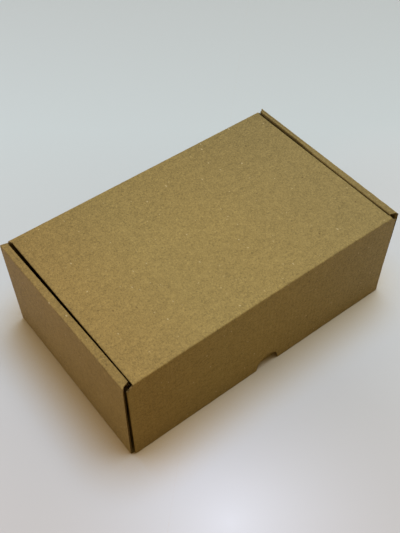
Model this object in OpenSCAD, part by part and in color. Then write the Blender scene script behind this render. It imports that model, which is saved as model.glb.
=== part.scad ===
// Corrugated mailer box folded from one die-cut sheet of kraft board, shown closed.
// The end walls are rolled over and locked into the base, the lid is hinged on the back wall,
// and the lid's front flap hangs outside the front wall with its ears tucked into the end walls.

/* [Box] */
// Length over the end walls
box_length = 231; // [170:1:330]
// Depth over the front flap and the back wall
box_depth = 144; // [110:1:220]
// Height to the top of the rolled end walls
box_height = 82.7; // [55:0.1:130]

/* [Board] */
// Thickness of the corrugated board
board_t = 1.3; // [1.1:0.1:1.8]
// Air between two plies that lie against each other
ply_gap = 0.12; // [0.1:0.02:0.3]
// Air between the two sides of a hinged crease
crease_gap = 0.1; // [0.05:0.01:0.2]

/* [Lid] */
// How far the lid's face lies below the top of the end walls
lid_drop = 0.9; // [0.5:0.1:3]
// Gap between a cut side of the lid and the end wall beside it
lid_side_gap = 1.1; // [0.5:0.1:3]
// Widest angle to which the lid opens
lid_angle = 135; // [100:1:150]

/* [Front flap] */
// Gap between the flap and the front wall behind it
flap_gap = 0.3; // [0.2:0.1:1]
// Height of the flap's lower edge above the ground
flap_lift = 0.5; // [0.2:0.1:3]
// Radius of the thumb notch in the lower edge
notch_r = 10.6; // [8:0.1:17]
// Height of the cut corners beside the lid crease
shoulder_h = 2.4; // [1.5:0.1:6]
// Depth of the ears behind the flap
ear_depth = 17; // [10:0.5:24]
// Clearance of the ears from what they swing past
ear_clearance = 0.5; // [0.3:0.1:1]

/* [Tray] */
// Gap between the front wall's top edge and the lid
wall_top_gap = 0.3; // [0.2:0.1:1.5]
// Length of the corner flaps folded back inside the end walls
corner_flap_length = 40; // [20:1:50]
// Cut-back at the free corners of the corner flaps
corner_flap_cut = 6.5; // [3:0.5:10]
// Gap above, below and beside what is tucked into an end wall
tuck_gap = 0.5; // [0.3:0.1:1]
// Setback of the end walls' rolled edges from the faces of the box
roll_setback = 0.4; // [0.2:0.1:1]
// Length of a locking tab
tab_length = 26; // [16:1:34]
// Distance between the middles of the two tabs on one end
tab_spacing = 70; // [46:1:76]
// Play of a tab in its slot
tab_play = 0.15; // [0.1:0.05:0.3]

/* [Hidden] */
$fn = 96;

kraft = "#9a8656";

// How far a fold runs into the panels on its two sides
seam = board_t/4;

// Layers at an end wall, measured from the middle of the box outwards
end_out = box_length/2;
end_in = end_out - board_t;
ear_out = end_in - ply_gap;
ear_in = ear_out - board_t;
corner_out = ear_in - ply_gap;
corner_in = corner_out - board_t;
lining_out = corner_in - ply_gap;
lining_in = lining_out - board_t;

// Layers from the front to the back
flap_y = -box_depth/2;
flap_back_y = flap_y + board_t;
front_y = flap_back_y + flap_gap;
front_in_y = front_y + board_t;
back_y = box_depth/2;
back_in_y = back_y - board_t;
lining_front_y = front_in_y + tuck_gap;
lining_back_y = back_in_y - tuck_gap;
roll_front_y = flap_back_y + tuck_gap;

// Levels
floor_z = board_t;
roll_z = box_height - board_t;
lid_z = box_height - lid_drop;
lid_under_z = lid_z - board_t;
front_top_z = lid_under_z - wall_top_gap;
shoulder_z = lid_under_z - shoulder_h;

// The lid and its two creases
lid_half = lining_in - lid_side_gap;
back_axis = [back_y - board_t/2, lid_z - board_t/2];
front_axis = [flap_back_y, lid_under_z];

// Radii that the ears keep to: outside the rolled edge as the lid lifts,
// and above the base as the flap swings out
lift_r = back_axis[0] - roll_front_y + ear_clearance;
swing_r = lid_under_z - floor_z - ear_clearance;

// An outline drawn in y and z, as a sheet from x to x + thickness
module sheet_yz(x, thickness) {
    translate([x, 0, 0]) rotate([90, 0, 90]) linear_extrude(thickness) children();
}

// An outline drawn in x and z, as a sheet from y to y + thickness
module sheet_xz(y, thickness) {
    translate([0, y + thickness, 0]) rotate([90, 0, 0]) linear_extrude(thickness) children();
}

// Section of a square fold: a quarter disc about the inner corner, towards sx and sy,
// with the first bit of the panel on either side
module fold(corner, sx, sy) {
    translate(corner) mirror([sx < 0 ? 1 : 0, 0]) mirror([0, sy < 0 ? 1 : 0]) {
        intersection() {
            circle(board_t);
            square(board_t);
        }
        translate([-seam, 0]) square([seam, board_t]);
        translate([0, -seam]) square([board_t, seam]);
    }
}

// A section in x and z, run from y to y_end
module run_along_y(y, y_end) {
    translate([0, y_end, 0]) rotate([90, 0, 0]) linear_extrude(y_end - y) children();
}

// A panel in x and z that is as wide as the crease at its top and steps out at its shoulders
module shouldered_panel(half, bottom, shoulder, top) {
    polygon([
        [-half, bottom], [half, bottom], [half, shoulder],
        [lid_half, top], [-lid_half, top], [-half, shoulder]
    ]);
}

// Corner flap of a wall, from its fold at y towards the middle of the box
module corner_flap(y, direction, top) {
    low = floor_z + tuck_gap;
    far = y + direction*corner_flap_length;
    near_cut = far - direction*corner_flap_cut;
    sheet_yz(corner_in, board_t) polygon([
        [y, low], [near_cut, low], [far, low + corner_flap_cut],
        [far, top - corner_flap_cut], [near_cut, top], [y, top]
    ]);
    translate([0, 0, low]) linear_extrude(top - low) fold([corner_in, y], 1, -direction);
}

module front_wall() {
    top = front_top_z;
    sheet_xz(front_y, board_t) translate([-corner_in, floor_z]) square([2*corner_in, top - floor_z]);
    sheet_yz(-corner_in, 2*corner_in) fold([front_in_y, floor_z], -1, -1);
    for (side = [0, 1]) mirror([side, 0, 0]) corner_flap(front_in_y, 1, top);
}

// The back wall ends in a rounded crease, about which the lid turns
module back_wall() {
    sheet_xz(back_in_y, board_t) shouldered_panel(corner_in, floor_z, shoulder_z, back_axis[1]);
    sheet_yz(-lid_half, 2*lid_half) translate(back_axis) circle(board_t/2);
    sheet_yz(-corner_in, 2*corner_in) fold([back_in_y, floor_z], 1, -1);
    for (side = [0, 1]) mirror([side, 0, 0]) corner_flap(back_in_y, -1, shoulder_z);
}

// Outer panel of an end wall, a little wider at the top than at the base
module end_panel() {
    sheet_yz(end_in, board_t) polygon([
        [front_y + ply_gap, floor_z], [back_y - roll_setback - ply_gap, floor_z],
        [back_y - roll_setback, roll_z], [flap_y + roll_setback, roll_z]
    ]);
    run_along_y(front_y + ply_gap, back_y - roll_setback - ply_gap) fold([end_in, floor_z], 1, -1);
    run_along_y(roll_front_y, back_y - 2*roll_setback) fold([end_in, roll_z], 1, 1);
}

// The flat top of a rolled end wall, between its two creases
module rolled_edge() {
    intersection() {
        run_along_y(flap_y, back_y) {
            fold([end_in, roll_z], 1, 1);
            fold([lining_out, roll_z], -1, 1);
            translate([lining_out, roll_z]) square([end_in - lining_out, board_t]);
        }
        translate([0, 0, roll_z]) linear_extrude(board_t) polygon([
            [end_out, flap_y + roll_setback], [end_in, roll_front_y],
            [lining_in, lining_front_y], [lining_in, lining_back_y],
            [end_in, back_y - 2*roll_setback], [end_out, back_y - roll_setback]
        ]);
    }
}

// Inner panel of an end wall, with the two tabs that lock it into the base
module lining_panel() {
    sheet_yz(lining_in, board_t) {
        translate([lining_front_y, floor_z + tab_play])
            square([lining_back_y - lining_front_y, roll_z - floor_z - tab_play]);
        for (y = [-tab_spacing/2, tab_spacing/2])
            translate([y - tab_length/2, tab_play]) square([tab_length, floor_z + tab_play]);
    }
    run_along_y(lining_front_y, lining_back_y) fold([lining_out, roll_z], -1, 1);
}

// Slots in the base for the tabs
module tab_slots() {
    for (y = [-tab_spacing/2, tab_spacing/2])
        translate([lining_in - tab_play, y - tab_length/2 - tab_play, -board_t])
            cube([board_t + 2*tab_play, tab_length + 2*tab_play, 3*board_t]);
}

// The base, a little deeper at its ends where it turns up into the end panels
module base_panel() {
    front_end = front_y + ply_gap;
    back_end = back_y - roll_setback - ply_gap;
    difference() {
        linear_extrude(board_t) {
            translate([-end_in, front_in_y]) square([2*end_in, back_in_y - front_in_y]);
            for (side = [0, 1]) mirror([side, 0])
                translate([ear_in, front_end]) square([end_in - ear_in, back_end - front_end]);
        }
        for (side = [0, 1]) mirror([side, 0, 0]) tab_slots();
    }
}

module tray() {
    color(kraft) {
        base_panel();
        front_wall();
        back_wall();
        for (side = [0, 1]) mirror([side, 0, 0]) {
            end_panel();
            rolled_edge();
            lining_panel();
        }
    }
}

// Section of the lid in y and z: rounded crease in front, relieved for the wall's crease behind
module lid_section() {
    room = board_t/2 + crease_gap;
    difference() {
        union() {
            translate(front_axis) {
                square([back_axis[0] - front_axis[0], board_t]);
                intersection() {
                    circle(board_t);
                    translate([-board_t, -board_t]) square([board_t, 2*board_t]);
                }
            }
        }
        translate(back_axis) {
            circle(room);
            translate([-room, -board_t]) square([2*board_t, board_t]);
            rotate(lid_angle) translate([-board_t, -2*board_t]) square([board_t + room, 2*board_t]);
        }
    }
}

module lid() {
    color(kraft) sheet_yz(-lid_half, 2*lid_half) lid_section();
}

// The fold of an ear and its fin in y and z, the fin bounded by the paths of the two creases
module ear_outline() {
    low = flap_lift + tuck_gap;
    translate([flap_y, low]) square([board_t, shoulder_z - low]);
    intersection() {
        difference() {
            translate([flap_back_y, low]) square([ear_depth, shoulder_z - low]);
            translate(back_axis) circle(lift_r, $fn = 240);
        }
        translate(front_axis) circle(swing_r, $fn = 240);
    }
}

module ear() {
    intersection() {
        linear_extrude(shoulder_z) {
            fold([ear_in, flap_back_y], 1, -1);
            translate([ear_in, flap_back_y]) square([board_t, ear_depth]);
        }
        sheet_yz(ear_in - seam, board_t + 2*seam) ear_outline();
    }
}

module front_flap() {
    color(kraft) {
        difference() {
            sheet_xz(flap_y, board_t) difference() {
                shouldered_panel(ear_in, flap_lift, shoulder_z, lid_under_z);
                translate([0, flap_lift]) circle(notch_r);
            }
            sheet_yz(-box_length/2, box_length) translate(front_axis) circle(board_t + crease_gap);
        }
        for (side = [0, 1]) mirror([side, 0, 0]) ear();
    }
}

tray();
lid();
front_flap();
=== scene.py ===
"""A corrugated mailer box as folded fluted board: its panels, creases, paper, light and camera.

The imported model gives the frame. Every panel is built here from two liners and the wavy medium
between them, which shows at the cut edges. Lengths below are millimetres unless they say otherwise.
"""
import math

import bmesh
import bpy
import numpy as np
from mathutils import Matrix, Vector


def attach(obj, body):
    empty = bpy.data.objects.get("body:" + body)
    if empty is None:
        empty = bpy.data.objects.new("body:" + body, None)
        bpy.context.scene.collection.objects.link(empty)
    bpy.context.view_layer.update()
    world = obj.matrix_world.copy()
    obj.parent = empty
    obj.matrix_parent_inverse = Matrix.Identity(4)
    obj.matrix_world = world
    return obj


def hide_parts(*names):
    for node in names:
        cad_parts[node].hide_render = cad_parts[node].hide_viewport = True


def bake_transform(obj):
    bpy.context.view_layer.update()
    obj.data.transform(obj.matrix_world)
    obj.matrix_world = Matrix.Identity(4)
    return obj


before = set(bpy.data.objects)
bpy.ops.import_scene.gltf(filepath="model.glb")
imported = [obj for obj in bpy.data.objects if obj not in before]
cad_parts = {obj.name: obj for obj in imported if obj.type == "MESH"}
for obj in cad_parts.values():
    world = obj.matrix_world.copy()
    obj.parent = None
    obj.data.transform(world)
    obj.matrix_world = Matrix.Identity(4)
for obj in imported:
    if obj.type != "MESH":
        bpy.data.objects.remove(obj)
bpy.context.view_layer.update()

MM = 0.001

# The part's own sizes
T = 1.3                  # board
GAP = 0.12               # between two plies
WALL_GAP = 0.3           # between the front wall and the flap and the lid
TUCK = 0.5               # beside what is tucked into an end wall or swings past it
PLAY = 0.15              # of a tab in its slot
END_OUT = 115.5
END_IN = END_OUT - T
EAR_OUT = END_IN - GAP
EAR_IN = EAR_OUT - T
CORNER_OUT = EAR_IN - GAP
CORNER_IN = CORNER_OUT - T
LINING_OUT = CORNER_IN - GAP
LINING_IN = LINING_OUT - T
FLAP_Y = -72.0
FLAP_BACK_Y = FLAP_Y + T
FRONT_Y = FLAP_BACK_Y + WALL_GAP
FRONT_IN_Y = FRONT_Y + T
BACK_Y = 72.0
BACK_IN_Y = BACK_Y - T
LINING_FRONT_Y = FRONT_IN_Y + TUCK
LINING_BACK_Y = BACK_IN_Y - TUCK
ROLL_FRONT_Y = FLAP_BACK_Y + TUCK
SETBACK = 0.4            # of a rolled edge from the faces of the box
TOP = 82.7
ROLL_Z = TOP - T
LID_Z = 81.8
LID_UNDER_Z = LID_Z - T
FRONT_TOP_Z = LID_UNDER_Z - WALL_GAP
SHOULDER_Z = LID_UNDER_Z - 2.4          # cut corners beside a hinge crease start here
LID_HALF = LINING_IN - 1.1              # leaves a gap on either side
BACK_AXIS = (BACK_Y - T / 2, LID_Z - T / 2)
FRONT_AXIS = (FLAP_BACK_Y, LID_UNDER_Z)
LIFT_R = BACK_AXIS[0] - ROLL_FRONT_Y + TUCK      # an ear lifts past the rolled edge
SWING_R = LID_UNDER_Z - T - TUCK                 # and swings clear of the base
NOTCH_R = 9.9
NOTCH_H = 11.9           # the photographed notch is a little taller than half its width
NOTCH_X = 2.3            # and a little off the middle
FLAP_LIFT = 0.5
EAR_DEPTH = 17.0
CORNER_FLAP = 40.0
CORNER_CUT = 6.5
TAB = 26.0
TAB_SPACING = 70.0
FLAP_SHOULDER = 111.8    # half the flap's width where its cut corners start
WALL_SHOULDER = 110.9    # half the width of the back wall's crease at its foot

# Where the panels lie on the flat sheet, measured from the middle of the lid
WALL_FOOT = 152.5        # along the sheet, the level of the ground on the walls and the flap
END_FOOT = 400.0         # across the sheet, the start of an end wall's strip

# The board
LINER = 0.2              # one liner
PITCH = 3.4              # one flute
MEDIUM = 0.16            # the wavy sheet
SQUEEZE = 0.22           # how much thinner the board is in a crease
FOLD_ARC = 1.3           # sheet taken up by a square fold
FOLD_STEPS = 8
CRISP = 0.125            # how far a fold's outer face stands out from a round one
SHARP = 0.22             # the same for the fold above an end wall's lining
STEP = 6.0               # longest side of a face on a flat panel
SHARP_EDGE = math.radians(32)
FRONT_RUN = 1.8          # flat bit of the lid's front crease on either side of its fold


def smooth(t):
    t = np.clip(t, 0.0, 1.0)
    return t * t * (3.0 - 2.0 * t)


def span(lo, hi, t):
    return lo + (hi - lo) * t


# How the real box departs from a perfect one, never past the model's box
LID_REACH = 109.0        # half the lid's length
WEDGE_Y = [-72.0, -70.7, -68.0, -66.0, -62.0, -55.0, -32.0]
WEDGE = [0.9, 1.3, 2.3, 2.6, 2.5, 1.6, 0.0]          # lean of the left end's plies towards the front
WEDGE_FOOT = [0.0, 0.4, 1.2, 1.4, 1.2, 0.6, 0.0]     # and more of it near the ground
LOOSE_Y = [-72.0, -36.0, 0.0, 36.0, 72.0]
LOOSE = [0.4, 0.3, 0.0, -0.25, -0.5]                 # slant of the left end's rolled edge
LEFT_INSET = (1.66, 1.13, 1.72)         # of the left face: its foot and top in front, its foot behind
RIGHT_INSET = 1.0                       # of the right face: its foot in front
FRONT_INSET = (0.82, 0.34)              # of the front face: its foot and top at the left
END_DROP = (0.07, 0.54, 0.58)           # of the rolled edges: left front, left back, right front
LID_RISE = (0.3, -0.1, 0.25, -0.7)      # of the lid's corners: left front and back, right front and back
WALL_BOW = 2.4                          # of the front wall, behind the flap
LID_SAG, RIM_SAG = 0.45, 0.5            # of the lid's middle, and of its cut edges


def arch(x):
    """1 in the middle of the lid's length and 0 at its ends."""
    return 1 - (x / LID_REACH) ** 2


def corner_mix(fx, fy, lf, lb, rf, rb):
    """A value from those at left front, left back, right front and right back."""
    left = lf * (1 - fy) + lb * fy
    right = rf * (1 - fy) + rb * fy
    return left * (1 - fx) + right * fx


def settle_end(x, y, z, wedge):
    """Lean, pinch and dents of a rolled end wall. Changes x and z in place."""
    lining = np.clip((END_IN - np.abs(x)) / (END_IN - LINING_OUT), 0, 1)
    # the right end's rolled edge is narrower and lower inside, most of all at the back
    pinch = 0.3 + 0.5 * smooth((y + 40) / 40) + 1.6 * smooth((y - 2) / 28)
    pinch *= lining * smooth((z - 73) / 4) * (x > 0)
    # the left end's lining leans with the plies, and its rolled edge has a slant of its own
    edge = np.interp(y, LOOSE_Y, LOOSE)
    below = wedge * np.maximum(smooth(z / 12), smooth((-y - 50) / 6))
    loose = span(below, edge, smooth((z - 74) / 6)) * lining * (x < 0)
    z -= 0.2 * pinch
    x += pinch + loose
    # the outer fold on top is dented by handling
    dent = np.where(x < 0, 0.11, 0.04) * (1 + np.sin(0.31 * y + 1.7 * np.sin(0.13 * y)))
    dent *= smooth((z - 79.5) / 2)
    dent *= smooth((np.abs(x) - 113) / 1.5)
    z -= dent
    x -= np.sign(x) * dent


def settle(points, kind="wall"):
    """Lean and sag of a box that was folded by hand: kind is end, wall, lid or flap."""
    points = np.array(points, float)
    x, y, z = points[..., 0], points[..., 1], points[..., 2]
    wedge = np.interp(y, WEDGE_Y, WEDGE) + np.interp(y, WEDGE_Y, WEDGE_FOOT) * (1 - z / 80)
    if kind == "end":
        settle_end(x, y, z, wedge)
    # the lid's front edge and the wall below it stand higher in the middle
    level = (0.75 * arch(x) - 0.4) * smooth((z - 40) / 40) * smooth((-y - 20) / 50)
    if kind == "wall":
        z += level
        bow = WALL_BOW * smooth(1 - (x / 100) ** 2) * smooth((70 - z) / 60)
        y += bow * smooth((-y - 40) / 29)
        x += wedge * smooth((-x - 90) / 20) * smooth((z - 1) / 2.3)
    elif kind != "end":
        z += level
        y += 0.25 * np.clip(arch(x), 0, 1) * smooth((z - 40) / 40) * smooth((-y - 20) / 50)
    if kind == "flap":
        x += wedge * smooth((-x - 70) / 40) * smooth((LID_UNDER_Z - z) / FRONT_RUN)
    fx = np.clip((x + END_OUT) / (2 * END_OUT), 0, 1)
    fy = np.clip((y + BACK_Y) / (2 * BACK_Y), 0, 1)
    fz = np.clip(z / TOP, 0, 1)
    foot, top, foot_behind = LEFT_INSET
    left = (foot * (1 - fz) + top * fz) * (1 - fy) + foot_behind * (1 - fz) * fy
    right = RIGHT_INSET * (1 - fz) * (1 - fy)
    foot, top = FRONT_INSET
    front = (foot * (1 - fz) + top * fz) * (1 - fx)
    inset_x = np.where(x < 0, left, right)
    inset_y = np.where(y < 0, front, 0.0)
    if kind == "end":
        left_front, left_back, right_front = END_DROP
        drop = np.where(x < 0, left_front * (1 - fy) + left_back * fy, right_front * (1 - fy))
        rise = -drop / TOP
    else:
        rise = corner_mix(fx, fy, *LID_RISE) / LID_Z
    points[..., 0] = x * (1 - inset_x / END_OUT)
    points[..., 1] = y * (1 - inset_y / BACK_Y)
    points[..., 2] = z * (1 + rise)
    return points


class Path:
    """Section of a folded strip: straight runs joined by square folds towards the inner side."""

    def __init__(self, start, ahead, inward, runs, crisp=(CRISP, CRISP, CRISP)):
        p, d, n = (np.array(q, float) for q in (start, ahead, inward))
        self.parts, self.folds, self.crisp, s = [], [], crisp, 0.0
        for i, run in enumerate(runs):
            if i:
                centre = p + n * T
                self.parts.append((s, s + FOLD_ARC, True, centre, d, n))
                self.folds.append((s, s + FOLD_ARC))
                s += FOLD_ARC
                p, d, n = centre + d * T, n, -d
            self.parts.append((s, s + run, False, p, d, n))
            s += run
            p = p + d * run
        self.length = s

    def away(self, s):
        """Distance along the sheet from the nearest fold."""
        gaps = [np.maximum(np.maximum(a - s, s - b), 0.0) for a, b in self.folds]
        return np.min(gaps, axis=0)

    def at(self, s, w):
        s, w = np.broadcast_arrays(np.asarray(s, float), np.asarray(w, float))
        out = np.zeros(s.shape + (2,))
        thin = 1 - SQUEEZE / T * np.exp(-(self.away(s) / 1.1) ** 2)
        for k, (s0, s1, fold, p, d, n) in enumerate(self.parts):
            here = (s >= s0 - 1e-9) & (s <= s1 + 1e-9)
            a, b = s[here] - s0, (w * thin)[here]
            if fold:
                angle = a / FOLD_ARC * math.pi / 2
                inner = np.cos(angle)[:, None] * n - np.sin(angle)[:, None] * d
                crisp = 1 + self.crisp[k // 2] * np.sin(2 * angle) ** 2 * (1 - b / T)
                out[here] = p - inner * ((T - b) * crisp)[:, None]
            else:
                out[here] = p + a[:, None] * d + b[:, None] * n
        return out

    def stops(self, step=STEP, extra=()):
        out = list(extra)
        for s0, s1, fold, *_ in self.parts:
            if fold:
                out += list(np.linspace(s0, s1, FOLD_STEPS + 1))
                continue
            out += list(np.linspace(s0, s1, max(1, math.ceil((s1 - s0) / step)) + 1))
            for a, b in self.folds:
                out += [q for off in (0.35, 0.8, 1.5, 2.6) for q in (a - off, b + off) if s0 < q < s1]
        out = np.unique(np.round(out, 5))
        return out[np.concatenate([[True], np.diff(out) > 1e-4])]


class Board:
    """The faces of one piece, with the sheet's own coordinates for the paper's pattern."""

    def __init__(self):
        self.points, self.faces, self.sheet, self.kind, self.worn = [], [], [], [], []
        self.count = 0

    def add(self, points, sheet, worn):
        self.points.append(points.reshape(-1, 3))
        self.sheet.append(sheet.reshape(-1, 2))
        self.worn.append(np.broadcast_to(worn, points.shape[:-1]).reshape(-1))
        first = self.count
        self.count += points[..., 0].size
        return first + np.arange(points[..., 0].size).reshape(points.shape[:-1])

    def slab(self, outer, inner, sheet, worn, mask=None, skin=(0, 0), rim=1):
        """A closed plate between two grids of points; mask says which cells are there."""
        n, m = outer.shape[:2]
        if mask is None:
            mask = np.ones((n - 1, m - 1), bool)
        a, b = self.add(outer, sheet, worn), self.add(inner, sheet, worn)
        i, j = np.nonzero(mask)
        for grid, kind in ((a, skin[0]), (b, skin[1])):
            quads = np.stack([grid[i, j], grid[i + 1, j], grid[i + 1, j + 1], grid[i, j + 1]], 1)
            self.put(quads, kind)
        pad = np.zeros((n + 1, m + 1), bool)
        pad[1:-1, 1:-1] = mask
        for p, q in zip(*np.nonzero(pad[1:, 1:-1] != pad[:-1, 1:-1])):
            self.put([[a[p, q], a[p, q + 1], b[p, q + 1], b[p, q]]], rim)
        for p, q in zip(*np.nonzero(pad[1:-1, 1:] != pad[1:-1, :-1])):
            self.put([[a[p, q], a[p + 1, q], b[p + 1, q], b[p, q]]], rim)

    def put(self, quads, kind):
        self.faces += [list(map(int, q)) for q in quads]
        self.kind += [kind] * len(quads)

    def piece(self, name, body, replaces=()):
        points = np.concatenate(self.points) * MM
        sheet, worn = np.concatenate(self.sheet) * MM, np.concatenate(self.worn)
        mesh = bpy.data.meshes.new(name)
        mesh.from_pydata(points.tolist(), [], self.faces)
        layer = mesh.uv_layers.new(name="sheet")
        corners = np.array([v for f in self.faces for v in f])
        layer.data.foreach_set("uv", sheet[corners].astype(np.float32).ravel())
        mesh.attributes.new("worn", "FLOAT", "POINT").data.foreach_set("value", worn.astype(np.float32))
        for material in (paper, raw_edge, core):
            mesh.materials.append(material)
        mesh.polygons.foreach_set("material_index", self.kind)
        bm = bmesh.new()
        bm.from_mesh(mesh)
        bmesh.ops.remove_doubles(bm, verts=bm.verts, dist=2e-7)
        bmesh.ops.dissolve_degenerate(bm, edges=bm.edges, dist=1e-8)
        bmesh.ops.recalc_face_normals(bm, faces=bm.faces)
        for face in bm.faces:
            face.smooth = True
        for edge in bm.edges:
            if len(edge.link_faces) != 2 or edge.calc_face_angle(0) > SHARP_EDGE:
                edge.smooth = False
        bm.to_mesh(mesh)
        bm.free()
        obj = bpy.data.objects.new(name, mesh)
        bpy.context.scene.collection.objects.link(obj)
        if body:
            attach(obj, body)
        if replaces:
            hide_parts(*replaces)
        return obj


def panel(board, across, along, place, mask=None, worn=0.0, cut=""):
    """Two liners over a grid, across and along the flutes, and the medium behind its cut edges.

    cut names the grid's raw edges: l and h for the ends of the flutes, L and H beside the flutes.
    """
    sheet = np.stack([across, along], -1)
    for near, far in ((0.0, LINER), (T - LINER, T)):
        board.slab(place(across, along, near), place(across, along, far), sheet, worn, mask)
    for side in cut:
        low = side in "lL"
        k = 0 if low else -1
        turn = 1.0 if low else -1.0
        if side in "lh":
            a_edge, b_edge = across[:, k], along[:, k]
            a = np.arange(a_edge.min() + 0.05, a_edge.max() - 0.05, PITCH / 8)
            b = np.interp(a, a_edge, b_edge)
            depth = np.array([0.12, 2.5, 5.0])            # behind the cut edge, as far as it shows
            a, b = np.broadcast_to(a[:, None], (len(a), 3)), b[:, None] + turn * depth
        else:
            a_edge, b_edge = across[k], along[k]
            inside = (b_edge > b_edge.min() + 0.1) & (b_edge < b_edge.max() - 0.1)
            b = b_edge[inside][:, None]
            w = np.linspace(LINER - 0.02, T - LINER + 0.02, 4)[None]
            bulge = 0.12 * np.sin(b * 0.9 + w * 2.0)
            a = a_edge[inside][:, None] + turn * (0.22 + bulge)
            a, b, w = np.broadcast_arrays(a, b, w)
            board.slab(place(a, b, w), place(a + turn * MEDIUM, b, w), np.stack([a, b], -1), 0.0,
                       skin=(2, 2), rim=2)
            continue
        wave = T / 2 + (T / 2 - LINER - MEDIUM / 2) * np.sin(2 * math.pi * a / PITCH)
        board.slab(place(a, b, wave - MEDIUM / 2), place(a, b, wave + MEDIUM / 2), np.stack([a, b], -1),
                   0.0, skin=(2, 2), rim=2)


# Materials
def srgb(r, g, b):
    def linear(c):
        c /= 255
        return c / 12.92 if c <= 0.04045 else ((c + 0.055) / 1.055) ** 2.4
    return linear(r), linear(g), linear(b), 1.0


class Graph:
    """Short calls for building a material's nodes."""

    def __init__(self, tree):
        self.tree = tree
        tree.nodes.clear()

    def node(self, kind, inputs=(), **settings):
        made = self.tree.nodes.new(kind)
        for key, value in settings.items():
            setattr(made, key, value)
        for key, value in dict(inputs).items():
            self.set(made.inputs[key], value)
        return made

    def set(self, socket, value):
        if isinstance(value, bpy.types.NodeSocket):
            self.tree.links.new(value, socket)
        else:
            socket.default_value = value

    def math(self, operation, *values):
        made = self.node("ShaderNodeMath", operation=operation)
        for socket, value in zip(made.inputs, values):
            self.set(socket, value)
        return made.outputs[0]

    def vector(self, operation, first, second):
        made = self.node("ShaderNodeVectorMath", operation=operation)
        self.set(made.inputs[0], first)
        self.set(made.inputs[1], second)
        return made.outputs[0]

    def measure(self, operation, first, second=(0.0, 0.0, 0.0)):
        """A number from two vectors, such as their distance."""
        made = self.node("ShaderNodeVectorMath", operation=operation)
        self.set(made.inputs[0], first)
        self.set(made.inputs[1], second)
        return made.outputs["Value"]

    def noise(self, where, scale, detail=2.0, roughness=0.5):
        made = self.node("ShaderNodeTexNoise", {"Vector": where, "Scale": scale, "Detail": detail,
                                                "Roughness": roughness})
        return made.outputs["Factor" if "Factor" in made.outputs else 0]

    def spread(self, value, low, high, to_low=0.0, to_high=1.0):
        made = self.node("ShaderNodeMapRange", {"Value": value, "From Min": low, "From Max": high,
                                                "To Min": to_low, "To Max": to_high})
        return made.outputs["Result"]

    def mix(self, amount, first, second, blend="MIX"):
        made = self.node("ShaderNodeMix", data_type="RGBA", blend_type=blend)
        for name, value in (("Factor_Float", amount), ("A_Color", first), ("B_Color", second)):
            socket = next(s for s in made.inputs if s.identifier == name)
            self.set(socket, value)
        return next(s for s in made.outputs if s.identifier == "Result_Color")

    def brighten(self, colour, factor):
        """Multiply a colour by a number that comes from a socket."""
        made = self.node("ShaderNodeVectorMath", operation="SCALE")
        self.set(made.inputs[0], colour)
        self.set(made.inputs["Scale"], factor)
        return made.outputs[0]


def sheet_place(g):
    """The sheet's own coordinates in millimetres."""
    uv = g.node("ShaderNodeUVMap", uv_map="sheet").outputs["UV"]
    return g.vector("MULTIPLY", uv, (1000.0, 1000.0, 0.0))


def fleck(g, where, moved, scale, share, size, stretch):
    """Specks of fibre: 1 inside a speck, 0 elsewhere. share is how many cells hold one."""
    where = g.vector("ADD", where, moved)
    bent = g.node("ShaderNodeTexNoise", {"Vector": where, "Scale": 1.4, "Detail": 1.0}).outputs["Color"]
    placed = g.vector("MULTIPLY", g.vector("ADD", where, bent), stretch)
    cell = g.node("ShaderNodeTexVoronoi", {"Vector": placed, "Scale": scale, "Randomness": 1.0})
    parts = g.node("ShaderNodeSeparateColor", {"Color": cell.outputs["Color"]})
    chosen = g.math("LESS_THAN", parts.outputs[0], share)
    reach = g.math("MULTIPLY", parts.outputs[1], size)
    near = g.spread(g.math("SUBTRACT", cell.outputs["Distance"], reach), 0.0, -0.03)
    return g.math("MULTIPLY", near, chosen)


# Dark bits of fibre that the photograph shows on the lid and the flap, as places on the sheet
SPECKS = ((-86.8, -20.0), (-94.2, -14.2), (88.2, -4.0), (22.1, -146.6))
PALE_FIBRE, DARK_FIBRE = srgb(206, 186, 138), srgb(84, 62, 32)
WARM_SHADE_LEFT = (0.98, 0.91, 0.86, 1.0)         # painted warm shade on the sheet's left side
COOL_LIGHT_RIGHT = (0.89, 0.92, 1.0, 1.0)          # and painted cool light on its right side
ROLL_SHADE = (0.84, 0.83, 0.82, 1.0)         # painted shade on the rolled edges of the end walls
ROLL_START, ROLL_FULL = 81.0, 85.0       # where a rolled edge starts on its strip
STRIP_END = 200.0                        # beyond the end of a strip


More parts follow.
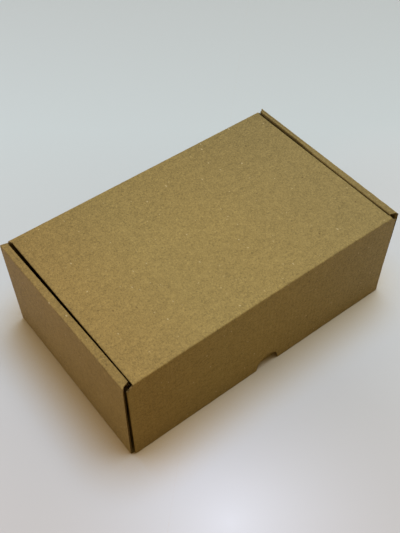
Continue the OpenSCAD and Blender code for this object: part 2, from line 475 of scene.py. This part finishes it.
def kraft(name, tone, contrast, bump, crushed):
    """Kraft board between two tones, with fibre grain, specks, flutes and wear, and painted shade and light.

    contrast scales the grain, bump is its height in metres, and crushed the wrinkles at the folds.
    """
    material = bpy.data.materials.new(name)
    material.use_nodes = True
    g = Graph(material.node_tree)
    where = sheet_place(g)
    worn = g.node("ShaderNodeAttribute", attribute_name="worn").outputs["Fac"]

    cloud = g.noise(where, 0.05, 2.0)
    patch = g.noise(where, 0.2, 3.0, 0.6)
    grain = g.noise(g.vector("MULTIPLY", where, (1.0, 0.7, 1.0)), 0.75, 3.0, 0.7)
    fibre = g.noise(g.vector("MULTIPLY", where, (1.0, 0.3, 1.0)), 2.2, 2.0, 0.6)
    mottle = g.noise(where, 0.45, 2.0, 0.6)
    streak = g.noise(g.vector("MULTIPLY", where, (0.3, 1.3, 1.0)), 1.0, 2.0, 0.6)
    axes = g.node("ShaderNodeSeparateXYZ", {"Vector": where})
    across, along = axes.outputs[0], axes.outputs[1]
    ripple = g.math("SINE", g.math("MULTIPLY", across, 2 * math.pi / PITCH))

    light = g.spread(cloud, 0.3, 0.7, -0.02, 0.02)
    for pattern, low, swing in ((patch, 0.3, 0.03), (mottle, 0.3, 0.025), (streak, 0.3, 0.06),
                                (grain, 0.25, 0.165), (fibre, 0.25, 0.17)):
        light = g.math("ADD", light, g.spread(pattern, low, 1 - low, -swing, swing))
    light = g.math("ADD", light, g.math("MULTIPLY", ripple, 0.008))
    factor = g.math("ADD", 1.0, g.math("MULTIPLY", light, contrast))
    factor = g.math("ADD", factor, g.math("MULTIPLY", worn, 0.04))
    # painted shade: the lid darkens slowly towards the back wall, and the sheet lightens again further along
    factor = g.math("ADD", factor, g.spread(along, 10.0, 72.0, 0.0, -0.13))
    factor = g.math("ADD", factor, g.spread(along, 76.0, 110.0, 0.0, 0.13))
    colour = g.brighten(g.mix(g.spread(patch, 0.3, 0.7), tone[0], tone[1]), factor)
    # painted warm shade to the left of the sheet and painted cool light to its right
    colour = g.mix(g.spread(across, -40.0, -100.0), colour, WARM_SHADE_LEFT, "MULTIPLY")
    colour = g.mix(g.spread(across, 10.0, 90.0), colour, COOL_LIGHT_RIGHT, "MULTIPLY")
    # painted shade on the end walls' rolled edges, deeper towards the front
    rolled = g.math("MULTIPLY", g.spread(across, ROLL_START - END_FOOT, ROLL_FULL - END_FOOT),
                    g.spread(across, STRIP_END + 10.0 - END_FOOT, STRIP_END - END_FOOT))
    rolled = g.math("MAXIMUM", rolled, g.spread(across, END_FOOT + ROLL_START, END_FOOT + ROLL_FULL))
    rolled = g.math("MULTIPLY", rolled, g.spread(along, 50.0, -60.0, 0.5, 1.0))
    colour = g.mix(rolled, colour, ROLL_SHADE, "MULTIPLY")

    pale = g.math("MAXIMUM", fleck(g, where, (0.0, 0.0, 0.0), 0.36, 0.2, 0.2, (1.0, 0.55, 1.0)),
                  fleck(g, where, (71.0, 13.0, 0.0), 0.55, 0.16, 0.18, (0.45, 1.0, 1.0)))
    dark = g.math("MAXIMUM", fleck(g, where, (7.0, 131.0, 0.0), 0.27, 0.16, 0.17, (1.0, 0.6, 1.0)),
                  fleck(g, where, (37.0, 59.0, 0.0), 0.6, 0.1, 0.2, (0.5, 1.0, 1.0)))
    upright = (1.0, 0.8, 0.0)            # the placed specks are a little longer along the sheet
    for x, y in SPECKS:
        away = g.measure("DISTANCE", g.vector("MULTIPLY", where, upright), (x, upright[1] * y, 0.0))
        dark = g.math("MAXIMUM", dark, g.spread(away, 0.8, 0.4))
    colour = g.mix(g.math("MULTIPLY", pale, 0.6), colour, PALE_FIBRE)
    colour = g.mix(g.math("MULTIPLY", dark, 0.6), colour, DARK_FIBRE)

    crease = g.noise(g.vector("MULTIPLY", where, (1.0, 3.2, 1.0)), 0.9, 3.0, 0.6)
    height = g.math("MULTIPLY", grain, 0.5)
    for pattern, share in ((fibre, 0.4), (ripple, 0.22), (patch, 1.2),
                           (g.math("MULTIPLY", crease, worn), crushed)):
        height = g.math("ADD", height, g.math("MULTIPLY", pattern, share))
    bumps = g.node("ShaderNodeBump", {"Height": height, "Strength": 1.0, "Distance": bump})
    rough = g.spread(grain, 0.2, 0.8, 0.78, 0.92)
    shader = g.node("ShaderNodeBsdfPrincipled", {"Base Color": colour, "Roughness": rough,
                                                 "Normal": bumps.outputs["Normal"],
                                                 "Specular IOR Level": 0.28})
    out = g.node("ShaderNodeOutputMaterial")
    g.set(out.inputs["Surface"], shader.outputs[0])
    return material


paper = kraft("kraft_liner", (srgb(147, 126, 72), srgb(153, 132, 77)), 1.6, 0.0001, 2.5)
raw_edge = kraft("kraft_cut_edge", (srgb(124, 102, 57), srgb(134, 112, 66)), 1.2, 0.00008, 0.0)
core = kraft("kraft_medium", (srgb(114, 92, 52), srgb(126, 104, 62)), 1.2, 0.00005, 0.0)


# The tray
def section_yz(path, kind):
    """Place a strip whose section lies in y and z."""
    def place(a, b, w):
        p = path.at(b, w)
        return settle(np.stack([np.broadcast_to(a, p.shape[:-1]), p[..., 0], p[..., 1]], -1), kind)
    return place


def section_xy(path, start, height):
    """Place an upright strip whose section lies in x and y."""
    def place(a, b, w):
        p = path.at(a - start, w)
        return settle(np.stack([p[..., 0], p[..., 1], np.broadcast_to(height(b), p.shape[:-1])], -1))
    return place


def worn_by(path, s, reach=1.2):
    """Wear of the paper: 1 on a fold and 0 away from it."""
    return np.exp(-(path.away(s) / reach) ** 2)


WALL_START = 2.0         # the walls' lower ends, above the base: folds and all below are the base's


def tab_edges(play=0.0):
    """Both sides of both tabs in y, or of their slots."""
    return [q for y in (-TAB_SPACING / 2, TAB_SPACING / 2) for q in (y - TAB / 2 - play, y + TAB / 2 + play)]


def make_base():
    low = WALL_START
    path = Path((FRONT_Y, T + low), (0, -1), (1, 0), [low, BACK_IN_Y - FRONT_IN_Y, low])
    y_zero = low + FOLD_ARC - FRONT_IN_Y
    slots = [y_zero + q for q in tab_edges(PLAY)]
    s = path.stops(extra=slots)
    slot_in = LINING_IN - PLAY
    x = np.concatenate([[-EAR_IN, -CORNER_IN], np.linspace(-slot_in, slot_in, 38), [CORNER_IN, EAR_IN]])
    a, b = np.meshgrid(x, s, indexing="ij")
    mid = (s[1:] + s[:-1]) / 2
    mask = np.ones((len(x) - 1, len(s) - 1), bool)       # less the slots, and the folds' outer ends
    in_slot = np.zeros(len(mid), bool)
    for q in (0, 2):
        in_slot |= (mid > slots[q]) & (mid < slots[q + 1])
    flat = (mid > path.folds[0][1]) & (mid < path.folds[1][0])
    for side in (0, -1):
        mask[side] = flat
    for side in (1, -2):
        mask[side] = ~in_slot
    board = Board()
    panel(board, a, b, section_yz(path, "wall"), mask, worn_by(path, b))
    board.piece("tray_base", "tray", ["tray"])


def make_wall(name, sign, top_z, fold_top, flap_top):
    """Front (sign -1) or back (sign 1) wall with the corner flaps folded in at its two ends.

    The three levels are the tops of the wall, of its corner folds and of its corner flaps.
    """
    inner_y = FRONT_IN_Y if sign < 0 else BACK_IN_Y
    path = Path((-CORNER_OUT, inner_y - sign * CORNER_FLAP), (0, sign), (1, 0),
                [CORNER_FLAP, 2 * CORNER_IN, CORNER_FLAP])
    start = -(CORNER_FLAP + FOLD_ARC + CORNER_IN)
    fold_end = CORNER_FLAP + FOLD_ARC
    beside = fold_end + 0.05
    s = path.stops(extra=[CORNER_CUT, path.length - CORNER_CUT, beside, path.length - beside])
    edge = np.minimum(s, path.length - s)
    cut = np.maximum(CORNER_CUT - edge, 0.0)
    flap = edge <= fold_end + 0.01
    low = np.where(flap, T + TUCK + cut, T + WALL_START)
    flap_high = np.interp(edge, [CORNER_FLAP - 1.5, CORNER_FLAP - 0.35], [flap_top, fold_top]) - cut
    high = np.where(flap, flap_high, np.interp(edge, [fold_end, fold_end + 2.6], [fold_top, top_z]))
    t = np.linspace(0, 1, 15)
    a = np.broadcast_to((s + start)[:, None], (len(s), len(t)))
    z = span(low[:, None], high[:, None], t)
    board = Board()
    panel(board, a, WALL_FOOT - z[:, ::-1], section_xy(path, start, lambda b: WALL_FOOT - b),
          worn=worn_by(path, s)[:, None], cut="lhLH")
    board.piece(name, "tray", ["tray"])


def make_end(name, side):
    """An end wall: up from the base, over, and down inside to the tabs in the base's slots."""
    first, rise, over = END_IN - EAR_IN, ROLL_Z - T, END_IN - LINING_OUT
    foot = ROLL_Z - T - PLAY
    path = Path((EAR_IN, 0), (1, 0), (0, 1), [first, rise, over, foot + T], (CRISP, CRISP, SHARP))
    s = path.stops(extra=[path.length - T])
    t_tabs = [(q - LINING_FRONT_Y) / (LINING_BACK_Y - LINING_FRONT_Y) for q in tab_edges()]
    t = np.unique(np.round(np.concatenate([np.linspace(0, 1, 25), t_tabs]), 6))
    flat = path.at(s, np.zeros(len(s)))
    x, z = flat[:, 0], flat[:, 1]
    up = np.clip((z - T) / rise, 0, 1)
    low = span(FRONT_Y + GAP, FLAP_Y + SETBACK, up)
    high = span(BACK_Y - SETBACK - GAP, BACK_Y - SETBACK, up)
    rolled = s > path.folds[1][0]
    layers = [LINING_IN, END_IN, END_OUT]
    rolled_low = np.interp(x, layers, [LINING_FRONT_Y, ROLL_FRONT_Y, FLAP_Y + SETBACK])
    rolled_high = np.interp(x, layers, [LINING_BACK_Y, BACK_Y - 2 * SETBACK, BACK_Y - SETBACK])
    low, high = np.where(rolled, rolled_low, low), np.where(rolled, rolled_high, high)
    mask = np.ones((len(s) - 1, len(t) - 1), bool)
    middle = span(LINING_FRONT_Y, LINING_BACK_Y, (t[1:] + t[:-1]) / 2)
    tab = np.abs(np.abs(middle) - TAB_SPACING / 2) < TAB / 2
    mask[(s[1:] + s[:-1]) / 2 > path.length - T] = tab
    origin = END_FOOT * side

    def place(a, b, w):
        from_edge = np.clip(b - FLAP_Y - SETBACK, 0, None)
        w = w * (1 - 0.4 * np.exp(-(from_edge / 1.5) ** 2))       # the front cut edge is crushed
        p = path.at(a - origin, w)
        return settle(np.stack([side * p[..., 0], np.broadcast_to(b, p.shape[:-1]), p[..., 1]], -1), "end")

    a = np.broadcast_to((s + origin)[:, None], (len(s), len(t)))
    board = Board()
    panel(board, a, span(low[:, None], high[:, None], t), place, mask, worn_by(path, s)[:, None], cut="lh")
    board.piece(name, "tray", ["tray"])


# The lid, its two creases and the front flap
LID_FRONT, LID_BACK = -68.9, 68.4       # the flat panel, between the two creases
LID_LEFT, LID_RIGHT = (-108.4, -107.6), (109.3, 110.7)      # its sides, in front and at the back
BACK_UP, BACK_RUN = 2.2, 2.3            # flat bits of the back crease, on the wall and on the lid


def lid_sides(y):
    """Left and right cut edges of the lid, which lies a little askew between the end walls."""
    t = (y - LID_FRONT) / (LID_BACK - LID_FRONT)
    return span(*LID_LEFT, t), span(*LID_RIGHT, t)


def make_lid():
    y = np.linspace(LID_FRONT, LID_BACK, 25)
    rim = np.array([0.0, 0.25, 0.55, 0.9, 1.4, 2.4]) / (2 * LID_REACH)
    t = np.concatenate([rim, np.linspace(0, 1, 39)[1:-1], 1 - rim[::-1]])
    left, right = lid_sides(y)
    a = span(left[None], right[None], t[:, None])
    b = np.broadcast_to(y[None], a.shape)

    def place(a, b, w):
        sag = LID_SAG * (1 - (b / LID_FRONT) ** 2) ** 2 * (1 - 0.6 * (a / LID_REACH) ** 2)
        left, right = lid_sides(b)
        near = np.clip(1 - np.minimum(a - left, right - a) / 1.4, 0, 1)
        sag = sag + RIM_SAG * near ** 2 * (1 - w / T)             # cut edges are pressed round
        a, b, z = np.broadcast_arrays(a, b, LID_Z - w - sag)
        return settle(np.stack([a, b, z], -1), "lid")

    board = Board()
    panel(board, a, b, place, cut="LH")
    board.piece("lid_panel", "lid", ["lid"])


def make_crease(name, kind, path, sides, turn, ends):
    """A crease as one crushed strip between two bodies."""
    s = path.stops(step=0.6)
    t = np.linspace(0, 1, 75)
    left, right = sides(s)
    a = span(left[None], right[None], t[:, None])
    q = np.broadcast_to(s[None], a.shape)
    place = section_yz(path, kind)
    sheet = np.stack([a, turn(q)], -1)
    board = Board()
    board.slab(place(a, q, 0.0), place(a, q, T), sheet, worn_by(path, q))
    obj = board.piece(name, None)
    start, end = (settle(np.array([0.0, y, z]), "lid") * MM for y, z in ends)
    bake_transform(obj)


def make_flap():
    path = Path((-EAR_OUT, FLAP_BACK_Y + EAR_DEPTH), (0, -1), (1, 0), [EAR_DEPTH, 2 * EAR_IN, EAR_DEPTH])
    start = -(EAR_DEPTH + FOLD_ARC + EAR_IN)
    notch = NOTCH_X + NOTCH_R * np.sin(np.linspace(-math.pi / 2, math.pi / 2, 25))
    beside = [NOTCH_X - NOTCH_R - 0.02, NOTCH_X + NOTCH_R + 0.02]
    corners = [-EAR_IN, -FLAP_SHOULDER, FLAP_SHOULDER, EAR_IN]
    ears = [-EAR_IN - FOLD_ARC - 0.7, EAR_IN + FOLD_ARC + 0.7]
    s = path.stops(extra=[q - start for q in [*notch, *beside, *corners, *ears]])
    x = s + start
    deep = np.maximum(np.abs(x) - EAR_IN - FOLD_ARC, 0.0)          # how far back along an ear
    ear = np.abs(x) > EAR_IN + 0.01
    low = np.full(len(s), FLAP_LIFT)
    cut = np.abs(x - NOTCH_X) < NOTCH_R
    low[cut] = FLAP_LIFT + NOTCH_H * np.sqrt(1 - ((x[cut] - NOTCH_X) / NOTCH_R) ** 2)
    low[ear] = FLAP_LIFT + TUCK
    fin = deep > 0.3
    low[fin] = np.maximum(FLAP_LIFT + TUCK, FRONT_AXIS[1] - np.sqrt(SWING_R ** 2 - deep[fin] ** 2))
    top = FRONT_AXIS[1] - FRONT_RUN
    slope = span(top, SHOULDER_Z, (np.abs(x) - FLAP_SHOULDER) / (EAR_IN - FLAP_SHOULDER))
    high = np.where(np.abs(x) <= FLAP_SHOULDER, top, slope)
    high[ear] = SHOULDER_Z
    back = BACK_AXIS[0] - (FLAP_BACK_Y + deep)
    inside = LIFT_R ** 2 - back ** 2
    high[fin] = np.minimum(SHOULDER_Z, BACK_AXIS[1] - np.sqrt(np.maximum(inside[fin], 0.0)))
    high[fin] -= 2.0 * smooth((deep[fin] - 0.3) / 1.2)            # hidden in the corner's dark hole
    t = np.linspace(0, 1, 16)
    z = span(low[:, None], high[:, None], t)
    a = np.broadcast_to(x[:, None], z.shape)

    def place(a, b, w):
        p = path.at(a - start, w)
        px, py, pz = p[..., 0], p[..., 1].copy(), np.broadcast_to(b + WALL_FOOT, p.shape[:-1])
        face = np.clip((FLAP_BACK_Y - py) / T, 0, 1)
        py += 0.2 * (1 - (px / EAR_IN) ** 2) * smooth((top - pz) / 30) * face
        return settle(np.stack([px, py, pz], -1), "flap")

    board = Board()
    panel(board, a, z - WALL_FOOT, place, worn=worn_by(path, s)[:, None], cut="lhLH")
    board.piece("front_flap_panel", "front_flap", ["front_flap"])


def front_sides(s):
    """Sides of the front crease: the lid's, then the sloping shoulders of the flap."""
    y = np.clip(LID_FRONT - s, FRONT_AXIS[0], None)
    left, right = lid_sides(y)
    down = np.clip(s - FRONT_RUN - FOLD_ARC, 0, None) / FRONT_RUN
    return span(left, -FLAP_SHOULDER, down), span(right, FLAP_SHOULDER, down)


def back_sides(s):
    """Sides of the back crease: the wall's sloping shoulders, then the lid's."""
    left, right = lid_sides(np.array(LID_BACK))
    up = np.clip(s / (BACK_UP + FOLD_ARC / 2), 0, 1)
    over = np.clip((s - BACK_UP - FOLD_ARC / 2) / (FOLD_ARC / 2 + BACK_RUN), 0, 1)
    return span(-span(WALL_SHOULDER, LID_HALF, up), left, over), span(WALL_SHOULDER, right, up)


make_base()
make_wall("tray_front_wall", -1, top_z=FRONT_TOP_Z - 0.5, fold_top=FRONT_TOP_Z - 5,
          flap_top=FRONT_TOP_Z - 5)
make_wall("tray_back_wall", 1, top_z=LID_UNDER_Z - BACK_UP, fold_top=SHOULDER_Z + 2.5,
          flap_top=SHOULDER_Z - 5)
make_end("tray_end_right", 1)
make_end("tray_end_left", -1)
make_lid()
make_flap()

# How far from its hinge's axis a crease starts and ends to bend, in y and in z
FRONT_BEND, BACK_BEND = 0.85, 1.06

front_path = Path((LID_FRONT, LID_Z), (-1, 0), (0, -1), [FRONT_RUN, FRONT_RUN])
make_crease("crease_front", "flap", front_path, front_sides, lambda s: LID_FRONT - s,
            [(FRONT_AXIS[0] + FRONT_BEND, FRONT_AXIS[1] + FRONT_BEND),
             (FRONT_AXIS[0] - FRONT_BEND, FRONT_AXIS[1] - FRONT_BEND)])
back_path = Path((BACK_Y, LID_UNDER_Z - BACK_UP), (0, 1), (-1, 0), [BACK_UP, BACK_RUN])
make_crease("crease_back", "lid", back_path, back_sides, lambda s: LID_BACK + back_path.length - s,
            [(BACK_AXIS[0] + BACK_BEND, BACK_AXIS[1] - BACK_BEND),
             (BACK_AXIS[0] - BACK_BEND, BACK_AXIS[1] + BACK_BEND)])


# Floor, light and camera
FLOOR_HALF, FLOOR_Z = 60.0, -0.0002     # metres, as all places and lengths from here on
AWAY = (0.615, 0.789, 0.0)              # level direction in which the camera looks
LAMP_REFLECTION_AT, LAMP_REFLECTION_REACH = (-0.092, -0.145, 0.0), 0.13       # painted reflection of a lamp in front of the near corner
PAINTED_LIGHT_AT, PAINTED_LIGHT_REACH = (0.2, -0.09, 0.0), 0.17           # painted light beside the right end, where the window lamp shades the table
# painted warm shade close to the box: left, right and at its foot
SHADE_LEFT, SHADE_RIGHT = (0.9, 0.67, 0.36, 1.0), (0.94, 0.8, 0.58, 1.0)
SHADE_FOOT = (0.92, 0.72, 0.45, 1.0)
BOUNCE_NEAR, BOUNCE_FAR = (0.33, 0.235, 0.11, 1.0), (0.7, 0.69, 0.8, 1.0)
BOUNCE_FOOT = (0.4, 0.2, 0.04, 1.0)


def floor_seen(g, place, side, open_sky):
    """The pale table top as the camera sees it, with painted warm shade close to the box on top of the
    lamps' own shade, a painted lamp reflection and painted light beside the right end.
    """
    along = g.measure("DOT_PRODUCT", place, AWAY)
    seen = g.mix(g.spread(along, -0.2, 0.2), srgb(199, 196, 194), srgb(199, 208, 208))
    seen = g.mix(g.spread(along, 0.2, 0.45), seen, srgb(190, 196, 195))
    # painted reflection of a lamp on the table top
    glow = g.spread(g.measure("DISTANCE", place, LAMP_REFLECTION_AT), LAMP_REFLECTION_REACH, 0.0)
    seen = g.mix(g.math("MULTIPLY", glow, glow), seen, srgb(229, 231, 238))
    # painted light beside the right end, against the window lamp's shadow
    painted_light = g.spread(g.measure("DISTANCE", place, PAINTED_LIGHT_AT), PAINTED_LIGHT_REACH, 0.03)
    seen = g.mix(painted_light, seen, srgb(210, 213, 213))
    seen = g.mix(g.spread(g.measure("LENGTH", place), 0.6, 2.0), seen, srgb(194, 198, 197))
    # painted warm shade where the box hides the floor from the sky
    shade = g.mix(g.spread(side, -0.115, -0.02), SHADE_LEFT, SHADE_RIGHT)
    seen = g.mix(g.spread(open_sky, 0.97, 0.56), seen, shade, "MULTIPLY")
    return g.mix(g.spread(open_sky, 0.42, 0.1), seen, SHADE_FOOT, "MULTIPLY")


def floor_bounce(g, side, back, open_sky):
    """The table top as light meets it: cool and bright away from the near corner, dim by the box."""
    cool = g.math("MAXIMUM", g.spread(side, 0.03, 0.16), g.spread(back, -0.05, 0.12))
    bounce = g.mix(cool, BOUNCE_NEAR, BOUNCE_FAR)
    return g.mix(g.spread(open_sky, 0.97, 0.6), bounce, BOUNCE_FOOT, "MULTIPLY")


def make_floor():
    mesh = bpy.data.meshes.new("floor")
    corners = [(x * FLOOR_HALF, y * FLOOR_HALF, FLOOR_Z) for x, y in ((-1, -1), (1, -1), (1, 1), (-1, 1))]
    mesh.from_pydata(corners, [], [(0, 1, 2, 3)])
    floor = bpy.data.objects.new("floor", mesh)
    bpy.context.scene.collection.objects.link(floor)
    material = bpy.data.materials.new("table_top")
    material.use_nodes = True
    g = Graph(material.node_tree)
    place = g.node("ShaderNodeTexCoord").outputs["Object"]
    axes = g.node("ShaderNodeSeparateXYZ", {"Vector": place})
    side, back = axes.outputs[0], axes.outputs[1]
    hidden = g.node("ShaderNodeAmbientOcclusion", {"Distance": 0.04}, samples=8, only_local=False)
    open_sky = hidden.outputs["AO"]
    eye = g.node("ShaderNodeLightPath").outputs["Is Camera Ray"]
    tone = g.mix(eye, floor_bounce(g, side, back, open_sky), floor_seen(g, place, side, open_sky))
    shader = g.node("ShaderNodeBsdfPrincipled", {"Base Color": tone, "Roughness": 0.5,
                                                 "Specular IOR Level": 0.1})
    out = g.node("ShaderNodeOutputMaterial")
    g.set(out.inputs["Surface"], shader.outputs[0])
    mesh.materials.append(material)


def area_light(name, place, aim, size, power, colour):
    """A square lamp that shines on the point it aims at."""
    data = bpy.data.lights.new(name, "AREA")
    data.shape, data.size, data.energy, data.color = "SQUARE", size, power, colour
    lamp = bpy.data.objects.new(name, data)
    lamp.location = place
    lamp.rotation_euler = (Vector(aim) - Vector(place)).to_track_quat("-Z", "Y").to_euler()
    bpy.context.scene.collection.objects.link(lamp)


def sun_light(name, toward, spread, strength, colour):
    """A wide soft light of the same strength everywhere; spread is its width in degrees."""
    data = bpy.data.lights.new(name, "SUN")
    data.angle, data.energy, data.color = math.radians(spread), strength, colour
    lamp = bpy.data.objects.new(name, data)
    lamp.rotation_euler = Vector(toward).to_track_quat("Z", "Y").to_euler()
    bpy.context.scene.collection.objects.link(lamp)


def make_world():
    """Warm room light all round; rays that look straight out see a pale room."""
    world = bpy.data.worlds.new("studio")
    bpy.context.scene.world = world
    world.use_nodes = True
    g = Graph(world.node_tree)
    side = g.measure("DOT_PRODUCT", g.node("ShaderNodeTexCoord").outputs["Generated"], (0.6, 0.8, 0.0))
    tint = g.mix(g.spread(side, -0.9, 0.5), (0.35, 0.26, 0.12, 1.0), (0.5, 0.43, 0.29, 1.0))
    glow = g.node("ShaderNodeBackground", {"Color": tint, "Strength": 1.0})
    seen = g.node("ShaderNodeBackground", {"Color": srgb(197, 199, 198), "Strength": 1.0})
    ray = g.node("ShaderNodeLightPath")
    direct = g.math("MAXIMUM", ray.outputs["Is Camera Ray"],
                    g.math("MAXIMUM", ray.outputs["Is Glossy Ray"], ray.outputs["Is Transmission Ray"]))
    both = g.node("ShaderNodeMixShader")
    g.set(both.inputs[0], direct)
    g.set(both.inputs[1], glow.outputs[0])
    g.set(both.inputs[2], seen.outputs[0])
    out = g.node("ShaderNodeOutputWorld")
    g.set(out.inputs["Surface"], both.outputs[0])


CAMERA_AT = (-0.2267, -0.2879, 0.4769)
AZIMUTH, ELEVATION, ROLL = math.radians(37.94), math.radians(49.84), math.radians(-0.07)
FOCAL, PICTURE = 794.7, 533.0           # focal length and the picture's height, in its pixels
SENSOR = 36.0                           # millimetres


def make_camera():
    """The photograph's view, solved from its edges."""
    ahead = Vector((math.sin(AZIMUTH) * math.cos(ELEVATION), math.cos(AZIMUTH) * math.cos(ELEVATION),
                    -math.sin(ELEVATION)))
    level = Vector((math.cos(AZIMUTH), -math.sin(AZIMUTH), 0.0))
    up = level.cross(ahead)
    right = math.cos(ROLL) * level + math.sin(ROLL) * up
    up = -math.sin(ROLL) * level + math.cos(ROLL) * up
    data = bpy.data.cameras.new("camera")
    data.sensor_width = SENSOR
    data.lens = FOCAL * SENSOR / PICTURE
    data.clip_start, data.clip_end = 0.01, 50.0
    camera = bpy.data.objects.new("camera", data)
    turn = Matrix((right, up, -ahead)).transposed().to_4x4()
    camera.matrix_world = Matrix.Translation(Vector(CAMERA_AT)) @ turn
    bpy.context.scene.collection.objects.link(camera)
    bpy.context.scene.camera = camera


make_floor()
make_world()
sun_light("key", toward=(0.27, 0.05, 1.38), spread=38.0, strength=2.85, colour=(0.6, 0.665, 0.8))
area_light("window", place=(-0.85, 0.55, 0.42), aim=(0.0, 0.0, 0.04), size=0.5, power=2.5,
           colour=(0.63, 0.63, 0.83))
area_light("sky", place=(0.75, -0.75, 0.35), aim=(0.1, -0.05, 0.05), size=0.4, power=0.4,
           colour=(0.45, 0.65, 1.0))
make_camera()
bpy.context.scene.view_settings.view_transform = "Standard"
